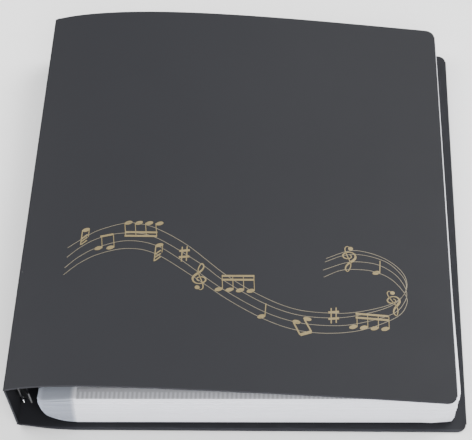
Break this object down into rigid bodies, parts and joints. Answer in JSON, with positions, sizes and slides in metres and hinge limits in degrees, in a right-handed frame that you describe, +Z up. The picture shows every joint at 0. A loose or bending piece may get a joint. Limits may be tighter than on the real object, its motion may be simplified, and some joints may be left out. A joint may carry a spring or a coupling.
{
  "type": "music folder",
  "caption": "Flexible plastic ring binder for sheet music: creased wrap-around cover, ring mechanism on the spine and a thick stack of punched clear sleeves.",
  "frame": {"origin": "middle of the whole folder's footprint, on the surface it lies on", "axes": "+X from the spine to the fore edge, +Y along the spine away from the viewer, +Z up through the closed folder"},
  "size_m": [0.2544, 0.31, 0.0388],
  "materials": {
    "cover_plastic": "charcoal polypropylene with a fine matt grain",
    "plated_steel": "bright nickel-plated steel",
    "sleeves": "white paper in thin clear sleeves"
  },
  "bodies": {
    "spine": {"spine_panel": "cover_plastic", "ring_plate": "plated_steel", "rivet_front": "plated_steel", "rivet_rear": "plated_steel", "lever_pin_front": "plated_steel", "lever_pin_rear": "plated_steel", "sleeve_pages": "sleeves"},
    "front_cover": {"front_cover": "cover_plastic"},
    "back_cover": {"back_cover": "cover_plastic"},
    "upper_rings": {"hinge_plate_upper": "plated_steel", "ring_upper_1": "plated_steel", "ring_upper_2": "plated_steel", "ring_upper_3": "plated_steel", "ring_upper_4": "plated_steel"},
    "lower_rings": {"hinge_plate_lower": "plated_steel", "ring_lower_1": "plated_steel", "ring_lower_2": "plated_steel", "ring_lower_3": "plated_steel", "ring_lower_4": "plated_steel"},
    "front_lever": {"lever_front": "plated_steel"},
    "rear_lever": {"lever_rear": "plated_steel"}
  },
  "joints": [
    {"name": "front_cover_crease", "type": "hinge", "parent": "spine", "child": "front_cover", "pos_m": [-0.12724, 0, 0.03367], "axis": [0, -1, 0], "range_deg": [0, 180]},
    {"name": "back_cover_crease", "type": "hinge", "parent": "spine", "child": "back_cover", "pos_m": [-0.12276, 0, 0.003], "axis": [0, 1, 0], "range_deg": [0, 180]},
    {"name": "ring_opening", "type": "hinge", "parent": "spine", "child": "upper_rings", "pos_m": [-0.12334, 0, 0.02565], "axis": [0, -1, 0], "range_deg": [0, 9.5]},
    {"name": "lower_ring_opening", "type": "hinge", "parent": "spine", "child": "lower_rings", "pos_m": [-0.12074, 0, 0.00784], "axis": [0, 1, 0], "range_deg": [0, 9.5]},
    {"name": "front_lever_pin", "type": "hinge", "parent": "spine", "child": "front_lever", "pos_m": [-0.12174, -0.141, 0.01679], "axis": [0.1444, 0, -0.9895], "range_deg": [0, 20]},
    {"name": "rear_lever_pin", "type": "hinge", "parent": "spine", "child": "rear_lever", "pos_m": [-0.12174, 0.141, 0.01679], "axis": [-0.1444, 0, 0.9895], "range_deg": [0, 20]}
  ],
  "couplings": [
    {"joint": "lower_ring_opening", "follows": "ring_opening", "ratio": 1},
    {"joint": "front_lever_pin", "follows": "ring_opening", "ratio": 2.1},
    {"joint": "rear_lever_pin", "follows": "ring_opening", "ratio": 2.1}
  ]
}
